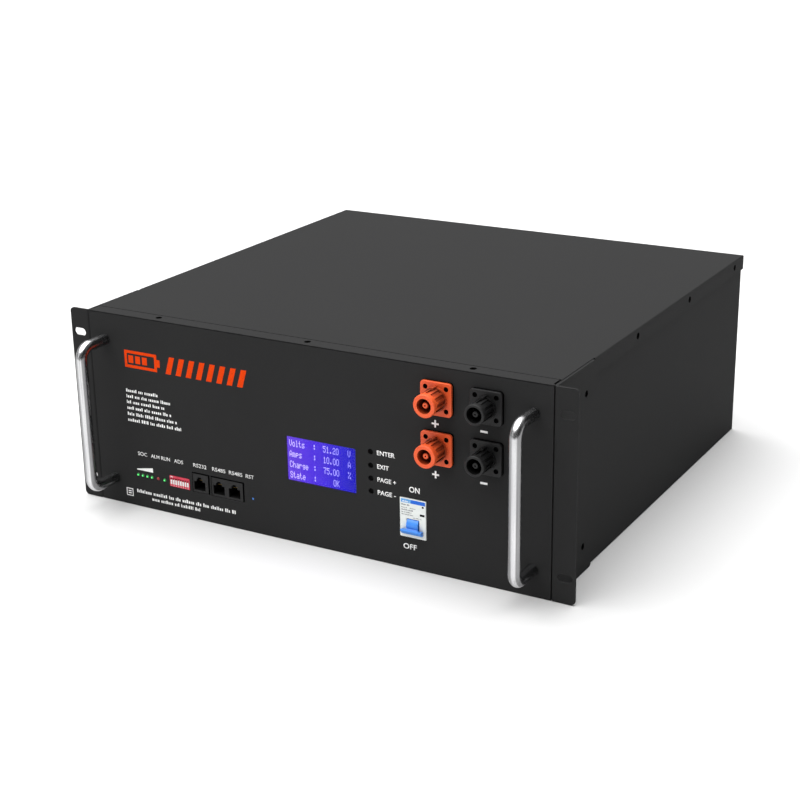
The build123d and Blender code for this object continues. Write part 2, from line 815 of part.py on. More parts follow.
def write_controls():
    """Display, keys, lamps, switches, jacks and breaker."""
    write("lcd_window", lcd_window())
    write("lcd_module", lcd_module())
    write("menu_board", menu_board())
    for name, z in zip(key_names, key_rows):
        write(f"key_{name}", menu_key(z))
    write("key_switches", *[key_switch(key_x, z) for z in key_rows], reset_switch())
    write("reset_button", reset_button())
    write("green_lamps", *[led(x) for x in (*charge_led_x, run_led_x)])
    write("alarm_lamp", led(alarm_led_x))
    write("dip_switch_body", dip_body())
    for index, x in enumerate(slider_places(), start=1):
        write(f"dip_slider_{index}", dip_slider(x))
    write("rs232_jack", jack(single_jack_x, single_port_x))
    write("rs485_jack", jack(double_jack_x, double_port_x))
    write("breaker_body", breaker_body())
    write("breaker_toggle", breaker_toggle())
    write("breaker_bracket", breaker_bracket())


def write_power():
    """Battery board, cells, bars and cables."""
    write("bms_board", bms_board())
    write("bms_heat_sink", heat_sink())
    write("bms_standoffs", *standoffs())
    write("cell_row_front", *cell_row(8, row_front_y))
    write("cell_row_rear", *[cell(-175.0 + cell_x * index, row_rear_y) for index in range(7)])
    write("cell_end_plates", end_plate(), mirrored(end_plate()))
    write("cell_tie_straps", *tie_straps())
    write("cell_spacer", cell_spacer())
    write("base_insulation", base_insulation())
    write("series_links", *series_links())
    write("positive_bar", positive_bar())
    write("negative_bar", negative_bar())
    write("cell_positive_cable", cell_positive_cable())
    write("cell_negative_cable", cell_negative_cable())
    write("pack_negative_cable", pack_negative_cable())
    write("sense_ribbon", sense_ribbon())


write_case()
write_sockets()
write_controls()
write_power()
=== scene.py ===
import json
import math
import random

import bmesh
import bpy
from mathutils import Matrix, Quaternion, Vector


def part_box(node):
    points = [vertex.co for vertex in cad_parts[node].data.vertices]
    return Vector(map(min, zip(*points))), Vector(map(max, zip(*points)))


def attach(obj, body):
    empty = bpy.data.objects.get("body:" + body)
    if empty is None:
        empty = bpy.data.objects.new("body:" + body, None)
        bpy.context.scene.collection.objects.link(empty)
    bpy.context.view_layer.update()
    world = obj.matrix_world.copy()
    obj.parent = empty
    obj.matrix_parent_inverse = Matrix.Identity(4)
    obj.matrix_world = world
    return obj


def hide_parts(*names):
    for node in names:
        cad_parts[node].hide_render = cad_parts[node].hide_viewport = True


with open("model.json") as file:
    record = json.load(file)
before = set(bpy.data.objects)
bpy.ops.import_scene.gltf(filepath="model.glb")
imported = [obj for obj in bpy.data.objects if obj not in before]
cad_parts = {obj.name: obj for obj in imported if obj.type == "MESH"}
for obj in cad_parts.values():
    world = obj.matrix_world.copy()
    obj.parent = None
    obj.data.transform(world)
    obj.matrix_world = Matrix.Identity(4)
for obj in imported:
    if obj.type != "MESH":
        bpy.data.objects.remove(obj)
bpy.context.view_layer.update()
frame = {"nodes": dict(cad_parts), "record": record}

# Places are given in millimetres from the front panel: X to the right from the middle, Y into the
# case from the panel's outer face, Z up from the underside.
MM = 0.001
PANEL_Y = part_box("front_panel")[0][1]


def at(x, y, z):
    """A point of the panel's millimetres in the frame's metres."""
    return Vector((x * MM, PANEL_Y + y * MM, z * MM))


def span(node):
    """A node's low and high corner in the panel's millimetres."""
    low, high = (Vector(corner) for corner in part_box(node))
    shift = Vector((0, PANEL_Y, 0))
    return (low - shift) / MM, (high - shift) / MM


def middle(node):
    """The middle of a node's box in the panel's millimetres."""
    low, high = span(node)
    return (low + high) / 2


# Materials


def grey(value):
    """A colour with the same red, green and blue."""
    return (value,) * 3


def toned(colour, factor):
    """A colour made paler or darker."""
    return tuple(min(1.0, factor * value) for value in colour)


class Recipe:
    """A node material built up step by step on one principled shader."""

    def __init__(self, name, rough=0.5, metal=0.0, **inputs):
        self.material = bpy.data.materials.new(name)
        self.material.use_nodes = True
        self.tree = self.material.node_tree
        self.shader = self.tree.nodes["Principled BSDF"]
        self.fill(self.shader, Roughness=rough, Metallic=metal, **inputs)
        # Every mesh's object sits at the origin, so this is a point's place in the frame.
        self.place = self.node("ShaderNodeTexCoord").outputs["Object"]
        self.normal = None

    def fill(self, node, **values):
        """Sets a node's sockets and settings; an underscore stands for a space in a socket's name."""
        for key, value in values.items():
            socket = key.replace("_", " ")
            if socket in node.inputs:
                node.inputs[socket].default_value = value
            else:
                setattr(node, key, value)

    def node(self, kind, **values):
        """A new node of a kind, filled in."""
        made = self.tree.nodes.new(kind)
        self.fill(made, **values)
        return made

    def feed(self, socket, source):
        """Links an output to a socket, or sets the socket to a colour or number."""
        if isinstance(source, bpy.types.NodeSocket):
            self.tree.links.new(source, socket)
        else:
            socket.default_value = (*source, 1) if isinstance(source, tuple) else source

    def noise(self, size_mm, detail=3.0, stretch=None):
        """Noise whose features are about size_mm across, longer along any axis that is stretched."""
        made = self.node("ShaderNodeTexNoise", Scale=1 / (size_mm * MM), Detail=detail, Roughness=0.55)
        vector = self.place
        if stretch:
            mapping = self.node("ShaderNodeMapping", Scale=[1 / factor for factor in stretch])
            self.feed(mapping.inputs["Vector"], vector)
            vector = mapping.outputs["Vector"]
        self.feed(made.inputs["Vector"], vector)
        return made.outputs["Fac"]

    def ramp(self, source, *stops):
        """A colour ramp; each stop is a place from 0 to 1 and a colour or grey."""
        made = self.node("ShaderNodeValToRGB")
        elements = made.color_ramp.elements
        while len(elements) < len(stops):
            elements.new(0.5)
        for element, (place, value) in zip(elements, stops):
            element.position = place
            colour = value if isinstance(value, tuple) else grey(value)
            element.color = (*colour, 1)
        self.feed(made.inputs["Fac"], source)
        return made.outputs["Color"]

    def rescale(self, source, low, high, new_low=0.0, new_high=1.0):
        """A value moved from the range low to high into another range, and held inside it."""
        made = self.node("ShaderNodeMapRange", From_Min=low, From_Max=high, To_Min=new_low, To_Max=new_high)
        self.feed(made.inputs["Value"], source)
        return made.outputs["Result"]

    def axis(self, vector, name):
        """One of a vector's X, Y and Z."""
        made = self.node("ShaderNodeSeparateXYZ")
        self.feed(made.inputs["Vector"], vector)
        return made.outputs[name]

    def blend(self, factor, low, high, mode="MIX"):
        """Mixes two colours or colour outputs by a factor."""
        made = self.node("ShaderNodeMix", data_type="RGBA", blend_type=mode)
        sockets = {socket.identifier: socket for socket in made.inputs}
        for key, value in (("Factor_Float", factor), ("A_Color", low), ("B_Color", high)):
            self.feed(sockets[key], value)
        return next(socket for socket in made.outputs if socket.identifier == "Result_Color")

    def times(self, low, high):
        """The product of two colours or colour outputs."""
        return self.blend(1.0, low, high, mode="MULTIPLY")

    def edges(self, radius_mm):
        """1 where the surface turns within a small radius and 0 elsewhere, for edges paled as wear and as a
        painted highlight.
        """
        bevel = self.node("ShaderNodeBevel", samples=4, Radius=radius_mm * MM)
        dot = self.node("ShaderNodeVectorMath", operation="DOT_PRODUCT")
        self.feed(dot.inputs[0], bevel.outputs["Normal"])
        self.feed(dot.inputs[1], self.node("ShaderNodeNewGeometry").outputs["Normal"])
        return self.ramp(dot.outputs["Value"], (0.80, 1.0), (0.985, 0.0))

    def hollows(self, reach_mm):
        """0 in recesses and corners, where ambient occlusion paints shade, and 1 in the open."""
        made = self.node("ShaderNodeAmbientOcclusion", samples=4, Distance=reach_mm * MM)
        return self.ramp(made.outputs["AO"], (0.32, 0.0), (0.80, 1.0))

    def colour(self, source):
        """Sets the base colour."""
        self.feed(self.shader.inputs["Base Color"], source)

    def roughness(self, source, low, high):
        """Lets the roughness vary between two values."""
        self.feed(self.shader.inputs["Roughness"], self.rescale(source, 0.0, 1.0, low, high))

    def bump(self, source, depth_mm, strength):
        """Adds relief on top of any that is there already."""
        made = self.node("ShaderNodeBump", Strength=strength, Distance=depth_mm * MM)
        self.feed(made.inputs["Height"], source)
        if self.normal is not None:
            self.feed(made.inputs["Normal"], self.normal)
        self.normal = made.outputs["Normal"]
        self.feed(self.shader.inputs["Normal"], self.normal)

    def glow(self, source, strength=1.0):
        """Makes the surface give light of its own."""
        self.feed(self.shader.inputs["Emission Color"], source)
        self.feed(self.shader.inputs["Emission Strength"], strength)


def powder_coat():
    """Fine-textured matt powder coat, a little paler on edges, partly as wear and partly as a painted
    highlight.
    """
    made = Recipe("powder_coat", Specular_IOR_Level=0.02)
    cloud = made.noise(90.0, detail=4.0)
    base = made.ramp(cloud, (0.3, (0.0248, 0.0248, 0.0250)), (0.7, (0.0268, 0.0268, 0.0270)))
    speckle = made.ramp(made.noise(0.35, detail=1.0), (0.62, 0.0), (0.74, 1.0))
    base = made.blend(speckle, base, (0.034, 0.034, 0.035))
    # Paler edges in patches: partly wear, partly a painted highlight.
    rubbed_and_highlit = made.ramp(made.noise(6.0), (0.35, 0.0), (0.75, 1.0))
    made.colour(made.blend(made.times(made.edges(0.7), rubbed_and_highlit), base, (0.046, 0.046, 0.047)))
    made.roughness(cloud, 0.56, 0.68)
    made.bump(made.noise(0.9, detail=2.0), 0.035, 0.55)
    made.bump(made.noise(3.5, detail=1.0), 0.03, 0.25)
    return made.material


BARREL_FRONT = -17.5  # where the ribbed barrel of a socket meets its front ring, and where the painted shade on the barrel is measured from


def moulded(name, dark, light, rough, shade=0.35, rub_and_highlight=1.3, barrel=None, **inputs):
    """Moulded plastic: a slight mottle, a spark-eroded grain, painted shade in recesses and corners, and
    edges paled as wear and as a painted highlight.

    Recesses and corners are darkened to shade of the colour as painted shade, edges are paled by the given
    factor of it as wear and a painted highlight, and where barrel is given the ribbed barrel of a socket is
    darkened to that much of it as painted shade.
    """
    made = Recipe(name, rough=rough, **inputs)
    skin = made.ramp(made.noise(7.0, detail=4.0), (0.3, dark), (0.72, light))
    # Painted shade: ambient occlusion darkens the colour in recesses and corners.
    skin = made.blend(made.hollows(18.0), made.times(skin, grey(shade)), skin)
    # Paler edges: partly wear, partly a painted highlight.
    skin = made.blend(made.edges(0.35), skin, toned(light, rub_and_highlight))
    if barrel:
        # Painted shade: the barrel behind the front ring is darkened by depth.
        depth = made.rescale(made.axis(made.place, "Y"), PANEL_Y + BARREL_FRONT * MM, PANEL_Y)
        barrel_shade_stops = ((0.0, 1.0), (0.06, 0.75), (0.35, barrel), (0.69, barrel), (0.74, 1.0))
        skin = made.times(skin, made.ramp(depth, *barrel_shade_stops))
    made.colour(skin)
    made.roughness(made.noise(2.5), rough - 0.06, rough + 0.08)
    made.bump(made.noise(0.5, detail=2.0), 0.012, 0.5)
    return made.material


# How far the drawing lines of a metal bar or sheet are stretched along X, Y and Z.
DRAWN_ALONG_X = (20, 1, 1)
DRAWN_ALONG_Y = (1, 20, 1)


def metal(name, dark, light, rough, drawn):
    """Bare or plated metal with faint drawing lines and a cloudy tint."""
    made = Recipe(name, rough=rough, metal=1.0)
    made.colour(made.ramp(made.noise(9.0, detail=4.0), (0.25, dark), (0.75, light)))
    lines = made.noise(0.35, detail=2.0, stretch=drawn)
    made.roughness(lines, rough - 0.06, rough + 0.10)
    made.bump(lines, 0.004, 0.35)
    return made.material


def chrome_bar():
    """Bright chrome with a painted reflection, lighter and darker by which way the surface faces round an
    upright bar, and hairline scratches along it.
    """
    made = Recipe("chrome_bar", metal=1.0)
    skin = made.ramp(made.noise(25.0), (0.3, (0.80, 0.80, 0.82)), (0.7, (0.90, 0.90, 0.91)))
    # Painted reflection: the colour follows which way the surface faces along X.
    facing = made.axis(made.node("ShaderNodeNewGeometry").outputs["Normal"], "X")
    painted_reflection_bands = made.ramp(
        made.rescale(facing, -1.0, 1.0),
        (0.05, 0.30), (0.37, 0.36), (0.50, 0.86), (0.76, 0.90), (0.84, 0.34), (0.98, 0.36), (1.0, 0.50),
    )
    streaks = made.ramp(made.noise(1.6, stretch=(1, 1, 60)), (0.35, 0.72), (0.65, 1.0))
    made.colour(made.times(made.times(skin, painted_reflection_bands), streaks))
    hairlines = made.noise(0.25, stretch=(1, 1, 40))
    made.roughness(hairlines, 0.16, 0.34)
    made.bump(hairlines, 0.006, 0.35)
    return made.material


def printed(name, colour, shine=0.3):
    """Screen-printed ink with a slightly uneven film."""
    made = Recipe(name, Specular_IOR_Level=shine)
    made.colour(made.ramp(made.noise(0.8), (0.32, toned(colour, 0.86)), (0.55, colour)))
    made.roughness(made.noise(1.5), 0.40, 0.55)
    made.bump(made.noise(0.4), 0.006, 0.4)
    return made.material


def lamp(name, body, light, strength):
    """Tinted diffused lens, lit from inside."""
    made = Recipe(name, rough=0.3, Subsurface_Weight=0.2, Subsurface_Scale=MM)
    made.colour(made.ramp(made.noise(1.2), (0.3, body), (0.7, toned(body, 1.2))))
    made.bump(made.noise(0.6), 0.01, 0.4)
    made.glow(made.ramp(made.noise(1.6), (0.3, toned(light, 0.8)), (0.7, light)), strength)
    return made.material


def clear_plastic():
    """Clear window with faint rubbing marks."""
    made = Recipe("clear_window", Transmission_Weight=1.0, IOR=1.15)
    made.colour(made.ramp(made.noise(12.0), (0.3, (0.95, 0.95, 0.97)), (0.7, (0.98, 0.98, 0.99))))
    rubs = made.noise(0.5, stretch=(30, 1, 1))
    made.roughness(rubs, 0.02, 0.07)
    made.bump(rubs, 0.002, 0.2)
    return made.material


def across_display(made):
    """0 at the display's left end, where its lamp is, and 1 at its right end."""
    low, high = span("lcd_window")
    return made.rescale(made.axis(made.place, "X"), low.x * MM, high.x * MM)


GLOW_GRID = 0.52  # pitch of the display's unlit dots


def display_glow():
    """Backlit display: brighter at the lamp's end, with the grid of its dots."""
    made = Recipe("display_glow", rough=0.35, Specular_IOR_Level=0.1)
    light = made.ramp(
        across_display(made),
        (0.0, (0.155, 0.056, 0.86)),
        (0.35, (0.084, 0.022, 0.86)),
        (0.8, (0.016, 0.007, 0.70)),
        (1.0, (0.006, 0.004, 0.52)),
    )
    light = made.times(light, made.ramp(made.noise(14.0), (0.3, 0.90), (0.7, 1.0)))
    for name in ("X", "Z"):
        wave = made.node("ShaderNodeMath", operation="MULTIPLY")
        made.feed(wave.inputs[0], made.axis(made.place, name))
        made.feed(wave.inputs[1], 2 * math.pi / (GLOW_GRID * MM))
        sine = made.node("ShaderNodeMath", operation="SINE")
        made.feed(sine.inputs[0], wave.outputs["Value"])
        light = made.times(light, made.ramp(sine.outputs["Value"], (0.80, 1.0), (0.95, 0.86)))
    made.colour((0.002, 0.002, 0.010))
    made.glow(light)
    made.bump(made.noise(0.5), 0.002, 0.2)
    return made.material


def readout_ink():
    """Pale dots of the readout, dimmer away from the lamp's end and a little uneven."""
    made = Recipe("readout_ink")
    made.colour((0.10, 0.09, 0.20))
    light = made.ramp(
        across_display(made),
        (0.0, (0.80, 0.66, 1.0)),
        (0.6, (0.50, 0.44, 1.0)),
        (1.0, (0.22, 0.20, 0.86)),
    )
    uneven = made.ramp(made.noise(5.0), (0.3, 0.15), (0.7, 0.0))
    made.glow(made.blend(uneven, light, (0.2, 0.2, 0.6)))
    return made.material


def circuit_board():
    """Green solder mask with faint traces under it."""
    made = Recipe("circuit_board", rough=0.35)
    traces = made.ramp(made.noise(2.2, detail=0.0, stretch=(1, 8, 1)), (0.50, 0.0), (0.53, 1.0))
    made.colour(made.blend(traces, (0.010, 0.085, 0.035), (0.020, 0.135, 0.055)))
    made.bump(traces, 0.03, 0.5)
    return made.material


def rubbery(name, colour, **inputs):
    """Matt rubber with a dusty bloom."""
    made = Recipe(name, rough=0.75, **inputs)
    made.colour(made.ramp(made.noise(4.0, detail=4.0), (0.35, colour), (0.75, toned(colour, 1.6))))
    made.bump(made.noise(0.6), 0.02, 0.5)
    return made.material


def floor_paint():
    """Pale painted studio floor."""
    made = Recipe("studio_floor", rough=0.7, Specular_IOR_Level=0.1)
    made.colour(made.ramp(made.noise(400.0), (0.3, 0.655), (0.7, 0.675)))
    return made.material


# The materials of the record's slots, and one more for the key caps.
MATERIALS = {
    "powder_coat": powder_coat(),
    "zinc_steel": metal("zinc_steel", (0.42, 0.43, 0.44), (0.56, 0.57, 0.58), 0.34, DRAWN_ALONG_X),
    "black_screw": moulded("black_screw", grey(0.001), grey(0.002), 0.7, rub_and_highlight=1.5, Specular_IOR_Level=0.0),
    "chrome_bar": chrome_bar(),
    "orange_plastic": moulded(
        "orange_plastic", (0.79, 0.094, 0.022), (0.86, 0.124, 0.032), 0.42,
        shade=0.30, barrel=0.40, Specular_IOR_Level=0.35,
    ),
    "black_plastic": moulded(
        "black_plastic", grey(0.0095), (0.0145, 0.0145, 0.0150), 0.45, barrel=0.40, Specular_IOR_Level=0.25,
    ),
    "white_plastic": moulded("white_plastic", (0.77, 0.80, 0.78), (0.84, 0.88, 0.85), 0.36, shade=0.75),
    "blue_plastic": moulded("blue_plastic", (0.044, 0.255, 0.84), (0.063, 0.295, 0.88), 0.36, shade=0.7),
    "red_plastic": moulded("red_plastic", (0.58, 0.022, 0.054), (0.68, 0.034, 0.077), 0.38, shade=0.7),
    "clear_window": clear_plastic(),
    "display": display_glow(),
    "lamp_green": lamp("lamp_green", (0.010, 0.16, 0.030), (0.010, 0.24, 0.035), 0.5),
    "lamp_red": lamp("lamp_red", (0.20, 0.015, 0.015), (0.45, 0.020, 0.030), 0.25),
    "circuit_board": circuit_board(),
    "copper_bar": metal("copper_bar", (0.62, 0.27, 0.16), (0.78, 0.40, 0.26), 0.32, DRAWN_ALONG_Y),
    "silver_contact": metal("silver_contact", (0.66, 0.65, 0.62), (0.80, 0.79, 0.76), 0.22, DRAWN_ALONG_Y),
    "cell_can": moulded("cell_can", (0.018, 0.060, 0.20), (0.030, 0.090, 0.27), 0.32),
    "bare_aluminium": metal("bare_aluminium", (0.58, 0.59, 0.60), (0.70, 0.71, 0.72), 0.38, DRAWN_ALONG_Y),
    "seal_rubber": rubbery("seal_rubber", grey(0.001), Specular_IOR_Level=0.0),
    "cable_red": rubbery("cable_red", (0.32, 0.012, 0.012)),
    "cable_black": rubbery("cable_black", grey(0.010)),
    "key_cap": moulded("key_cap", grey(0.001), grey(0.003), 0.6, rub_and_highlight=1.5, Specular_IOR_Level=0.02),
}

# What a new piece is finished with: a material, and the record's slot that it belongs to.
WHITE_INK = (printed("print_white", (0.96, 0.96, 0.95)), "white_plastic")
GREY_INK = (printed("print_grey", (0.16, 0.17, 0.19)), "black_plastic")
ORANGE_INK = (printed("print_orange", (0.78, 0.054, 0.002), shine=0.05), "orange_plastic")
BLUE_INK = (printed("print_blue", (0.010, 0.140, 0.70)), "blue_plastic")
CYAN_INK = (printed("print_cyan", (0.13, 0.40, 0.80)), "blue_plastic")
GOLD = (metal("gold_contact", (0.30, 0.20, 0.07), (0.42, 0.30, 0.12), 0.35, DRAWN_ALONG_Y), "silver_contact")
HOT_SPOT = (lamp("lamp_hot_spot", (0.10, 0.70, 0.18), (0.12, 0.86, 0.20), 1.0), "lamp_green")
READOUT = (readout_ink(), "display")
GLASS = (MATERIALS["display"], "display")
PANE = (MATERIALS["clear_window"], "clear_window")
# Painted shade: a near-black finish for flat shapes that stand in for the dark inside of openings.
HOLE_SHADE = (MATERIALS["black_screw"], "black_plastic")


def dress_nodes():
    """Gives every node of the frame the material of its slot, and the key caps their own."""
    slots = {part["node"]: part["material_slot"] for part in frame["record"]["subparts"]}
    for name, node in frame["nodes"].items():
        is_cap = name.startswith("key_") and name != "key_switches"
        node.data.materials.clear()
        node.data.materials.append(MATERIALS["key_cap" if is_cap else slots[name]])


# Meshes


def add_piece(name, mesh, finish):
    """A finished mesh as a piece that rides on the case."""
    material, slot = finish
    mesh.materials.append(material)
    piece = bpy.data.objects.new(name, mesh)
    bpy.context.scene.collection.objects.link(piece)
    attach(piece, "case")
    return piece


def mesh_of(name, build):
    """A mesh filled in by a function that works on a bmesh."""
    made = bmesh.new()
    build(made)
    bmesh.ops.recalc_face_normals(made, faces=made.faces)
    mesh = bpy.data.meshes.new(name)
    made.to_mesh(mesh)
    made.free()
    return mesh


def add_prism(made, near, far):
    """A closed solid between two rings with the same number of points."""
    near = [made.verts.new(point) for point in near]
    far = [made.verts.new(point) for point in far]
    made.faces.new(near)
    made.faces.new(far[::-1])
    for i in range(len(near)):
        j = (i + 1) % len(near)
        made.faces.new((near[j], near[i], far[i], far[j]))


def add_slab(made, outline, y0, y1):
    """Extrudes an outline of (x, z) points between two depths."""
    add_prism(made, [at(x, y0, z) for x, z in outline], [at(x, y1, z) for x, z in outline])


def add_pane(name, outline, depths, finish):
    """One slab between two depths, as a piece."""
    return add_piece(name, mesh_of(name, lambda made: add_slab(made, outline, *depths)), finish)


CORNER_STEPS = 4  # straight pieces in a rounded corner


def rectangle(x0, x1, z0, z1, radius=0.0, slant=0.0):
    """Points round a rectangle, with any rounded corners, leaning by slant per unit of height."""
    if radius == 0:
        points = [(x0, z0), (x1, z0), (x1, z1), (x0, z1)]
    else:
        points = []
        corners = (
            (x1 - radius, z0 + radius, -90),
            (x1 - radius, z1 - radius, 0),
            (x0 + radius, z1 - radius, 90),
            (x0 + radius, z0 + radius, 180),
        )
        for x, z, start in corners:
            for step in range(CORNER_STEPS + 1):
                angle = math.radians(start + 90 * step / CORNER_STEPS)
                points.append((x + radius * math.cos(angle), z + radius * math.sin(angle)))
    return [(x + slant * (z - z0), z) for x, z in points]


def hollow_rectangle(x0, x1, z0, z1, stroke):
    """Four strips inside a rectangle's outline."""
    return [
        rectangle(x0, x1, z0, z0 + stroke),
        rectangle(x0, x1, z1 - stroke, z1),
        rectangle(x0, x0 + stroke, z0 + stroke, z1 - stroke),
        rectangle(x1 - stroke, x1, z0 + stroke, z1 - stroke),
    ]


INK = 0.05  # how far print stands proud of what it is on


def print_shapes(name, outlines, finish, y=0.0):
    """Flat printed shapes on a face at depth y."""
    def build(made):
        for outline in outlines:
            add_slab(made, outline, y - INK, y)

    add_piece(name, mesh_of(name, build), finish)


FONT_CAPITAL = 0.73  # height of the built-in font's capitals at size 1
# How much is added round the font's strokes at size 1.
THIN = 0.002
BOLD = 0.018
HEAVY = 0.022


def flat_text(name, words, align, weight):
    """Words as a flat mesh at size 1, their strokes thickened by weight."""
    curve = bpy.data.curves.new(name, "FONT")
    curve.body = words
    curve.size = 1.0
    curve.align_x = align
    curve.resolution_u = 4
    curve.offset = weight
    text = bpy.data.objects.new(name, curve)
    mesh = bpy.data.meshes.new_from_object(text)
    bpy.data.objects.remove(text)
    return mesh


def lettering(name, words, x, z, height, y=0.0, align="LEFT", width=None, weight=HEAVY):
    """White printed capitals of a given height, their middle at z, fitted to any width given."""
    flat = flat_text(name, words, align, weight)
    xs = [vertex.co.x for vertex in flat.vertices]
    start = min(xs) if align == "LEFT" else 0.0
    scale_z = height / FONT_CAPITAL
    scale_x = width / (max(xs) - min(xs)) if width else scale_z

    def build(made):
        made.from_mesh(flat)
        bpy.data.meshes.remove(flat)
        for vertex in made.verts:
            right = (vertex.co.x - start) * scale_x
            up = vertex.co.y * scale_z - height / 2
            vertex.co = at(x + right, y - INK, z + up)
        extruded = bmesh.ops.extrude_face_region(made, geom=made.faces[:])["geom"]
        back = [item for item in extruded if isinstance(item, bmesh.types.BMVert)]
        bmesh.ops.translate(made, verts=back, vec=(0, INK * MM, 0))

    add_piece(name, mesh_of(name, build), WHITE_INK)


# Print too small to read is drawn as small blocks. These are shares of a capital's height.
SMALL_LETTER = 0.72
LETTER_GAP = 0.24
WORD_GAP = 0.5
LETTER_WIDTHS = (0.55 / 2.2, 0.9 / 2.2, 0.9 / 2.2, 1.15 / 2.2)
CAPITALS_SHARE = 0.3  # of the letters in a line
WORD_LETTERS = (3, 8)  # fewest and most
LAST_LETTER = 0.6  # least room that a line's last letter needs, in millimetres


def word_marks(seed, x0, x1, z, height):
    """Small blocks in word-like groups: a line of print too small to read."""
    chance = random.Random(seed)
    outlines = []
    x = x0
    bottom = z - height / 2
    left = chance.randint(*WORD_LETTERS)
    while x < x1 - LAST_LETTER:
        wide = min(chance.choice(LETTER_WIDTHS) * height, x1 - x)
        tall = height if chance.random() < CAPITALS_SHARE else SMALL_LETTER * height
        outlines.append(rectangle(x, x + wide, bottom, bottom + tall))
        x += wide + LETTER_GAP * height
        left -= 1
        if left == 0:
            x += WORD_GAP * height
            left = chance.randint(*WORD_LETTERS)
    return outlines


# Print on the front panel

MARK_LOW = 130.2
MARK_HIGH = 145.8
BATTERY_LEFT = -184.6
BATTERY_RIGHT = -150.0
BATTERY_STROKE = 2.6
BATTERY_TIP = 3.2  # width of its terminal
BATTERY_CELLS = 3  # that are full, with room for one more
CELL_START = 1.6  # from the inside of the outline to the first cell
CELL_GAP = 2.2
CELL_INSET = 4.4  # from the mark's top and bottom to the cells and the terminal
BARS = 8
BARS_START = -141.0
BAR_PITCH = 10.6
BAR_WIDE = 5.4
BAR_SLANT = 0.30


def print_panel_mark():
    """Orange battery pictogram and a row of leaning charge bars."""
    low = MARK_LOW + CELL_INSET
    high = MARK_HIGH - CELL_INSET
    outlines = hollow_rectangle(BATTERY_LEFT, BATTERY_RIGHT, MARK_LOW, MARK_HIGH, BATTERY_STROKE)
    outlines.append(rectangle(BATTERY_RIGHT, BATTERY_RIGHT + BATTERY_TIP, low, high))
    pitch = (BATTERY_RIGHT - BATTERY_LEFT - 2 * BATTERY_STROKE) / (BATTERY_CELLS + 1)
    for index in range(BATTERY_CELLS):
        x = BATTERY_LEFT + BATTERY_STROKE + CELL_START + index * pitch
        outlines.append(rectangle(x, x + pitch - CELL_GAP, low, high))
    for index in range(BARS):
        x = BARS_START + index * BAR_PITCH
        outlines.append(rectangle(x, x + BAR_WIDE, MARK_LOW, MARK_HIGH, slant=BAR_SLANT))
    print_shapes("panel_mark", outlines, ORANGE_INK)


# Lines of small print on the panel: seed, left end, right end, middle height, capitals' height.
SMALL_PRINT = (
    (0, -185.6, -150.0, 108.75, 2.9),
    (1, -185.6, -138.5, 103.5, 2.9),
    (2, -185.6, -145.0, 98.2, 2.9),
    (3, -185.6, -137.5, 92.8, 2.9),
    (4, -185.6, -132.0, 87.2, 2.9),
    (5, -185.6, -127.5, 81.6, 2.9),
    (20, -181.5, -75.0, 15.0, 3.2),
    (21, -165.0, -113.0, 9.75, 3.0),
)
ICON_LEFT = -193.4
ICON_BOTTOM = 8.4
ICON_SIDE = 7.4
ICON_STROKE = 0.8
ICON_BARS = (2.2, 4.2)  # from the icon's bottom to each bar
ICON_BAR_HIGH = 1.0
ICON_BAR_INSET = 2.0


def print_panel_notes():
    """Two blocks of print too small to read, as lines of marks, and a plain square icon."""
    outlines = []
    for line in SMALL_PRINT:
        outlines += word_marks(*line)
    right = ICON_LEFT + ICON_SIDE
    outlines += hollow_rectangle(ICON_LEFT, right, ICON_BOTTOM, ICON_BOTTOM + ICON_SIDE, ICON_STROKE)
    for rise in ICON_BARS:
        z = ICON_BOTTOM + rise
        outlines.append(rectangle(ICON_LEFT + ICON_BAR_INSET, right - ICON_BAR_INSET, z, z + ICON_BAR_HIGH))
    print_shapes("panel_notes", outlines, WHITE_INK)


# Capitals over the lamps and ports: name, words, left end, width.
PORT_LABEL_Z = 51.2
PORT_LABEL_HIGH = 3.5
PORT_LABELS = (
    ("label_soc", "SOC", -177.5, 10.0),
    ("label_alm", "ALM", -163.2, 9.2),
    ("label_run", "RUN", -152.0, 9.4),
    ("label_ads", "ADS", middle("dip_switch_body").x - 4.8, 9.6),
    ("label_rs232", "RS232", -117.5, 14.1),
    ("label_rs485_left", "RS485", -97.5, 13.8),
    ("label_rs485_right", "RS485", -79.9, 13.8),
    ("label_rst", "RST", -62.6, 8.4),
)
# Capitals beside the keys: node, words, width.
KEY_LABEL_HIGH = 3.9
KEY_LABEL_SHIFT = (6.2, 0.4)  # from the key's middle, right and up
KEY_LABELS = (
    ("key_enter", "ENTER", 16.5),
    ("key_exit", "EXIT", 10.8),
    ("key_page_up", "PAGE +", 17.3),
    ("key_page_down", "PAGE -", 16.8),
)
# Capitals over and under the breaker: name, words, left end, middle height, height, width.
BREAKER_LABELS = (
    ("label_on", "ON", 96.4, 69.9, 4.9, 9.6),
    ("label_off", "OFF", 90.4, 19.8, 4.7, 12.4),
)


def print_labels():
    """Function labels beside the controls."""
    for name, words, x, width in PORT_LABELS:
        lettering(name, words, x, PORT_LABEL_Z, PORT_LABEL_HIGH, width=width, weight=THIN)
    for name, words, x, z, height, width in BREAKER_LABELS:
        lettering(name, words, x, z, height, width=width, weight=BOLD)
    right, up = KEY_LABEL_SHIFT
    for node, words, width in KEY_LABELS:
        key = middle(node)
        lettering(f"label_{node}", words, key.x + right, key.z + up, KEY_LABEL_HIGH, width=width, weight=BOLD)


SIGN_ARM = 3.1  # from a sign's middle to its ends
SIGN_CORNER = 0.2
PLUS_HALF = 0.75  # half the stroke of a plus
MINUS_HALF = 0.9  # half the stroke of a minus
SIGN_DROPS = {"lower": 23.3, "upper": 22.1}  # from a socket's middle down to its plus
PLUS_LEFT = 2.8  # from a socket's middle to its plus
MINUS_LEFT = 3.2  # from a socket's middle to its minus
MINUS_RISE = 0.7  # of a minus over the plus beside it


